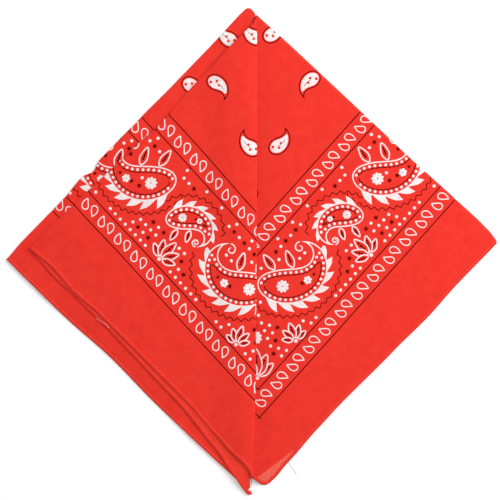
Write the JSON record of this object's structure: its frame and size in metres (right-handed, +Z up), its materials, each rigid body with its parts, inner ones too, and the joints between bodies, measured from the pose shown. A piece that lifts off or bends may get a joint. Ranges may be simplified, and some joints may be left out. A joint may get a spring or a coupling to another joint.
{
  "type": "folded bandana",
  "caption": "Square cotton bandana with a printed paisley border, folded in quarters with a soft pleat down the middle, lying flat.",
  "frame": {"origin": "middle of the footprint, on the surface that the folded cloth lies on", "axes": "+Z up out of the cloth, +Y from the loose corners towards the middle of the square, +X towards the folded right corner"},
  "size_m": [0.388, 0.3846, 0.0075],
  "materials": {
    "printed_cotton": "matt plain-weave cotton, dyed red and printed in white and black",
    "wrong_side_cotton": "matt plain-weave cotton, wrong side, with the print showing through only faintly",
    "hidden_cotton": "matt plain-weave cotton, dyed red",
    "hem_cotton": "narrow turned hem in the same red cotton, stitched with red thread"
  },
  "bodies": {
    "root": {"folded_core": "hidden_cotton", "front_left": "printed_cotton", "front_left_hem": "hem_cotton", "front_right": "printed_cotton", "front_right_hem": "hem_cotton", "second_layer": "wrong_side_cotton", "second_layer_hem": "hem_cotton", "third_layer": "printed_cotton", "third_layer_hem": "hem_cotton"}
  },
  "joints": []
}
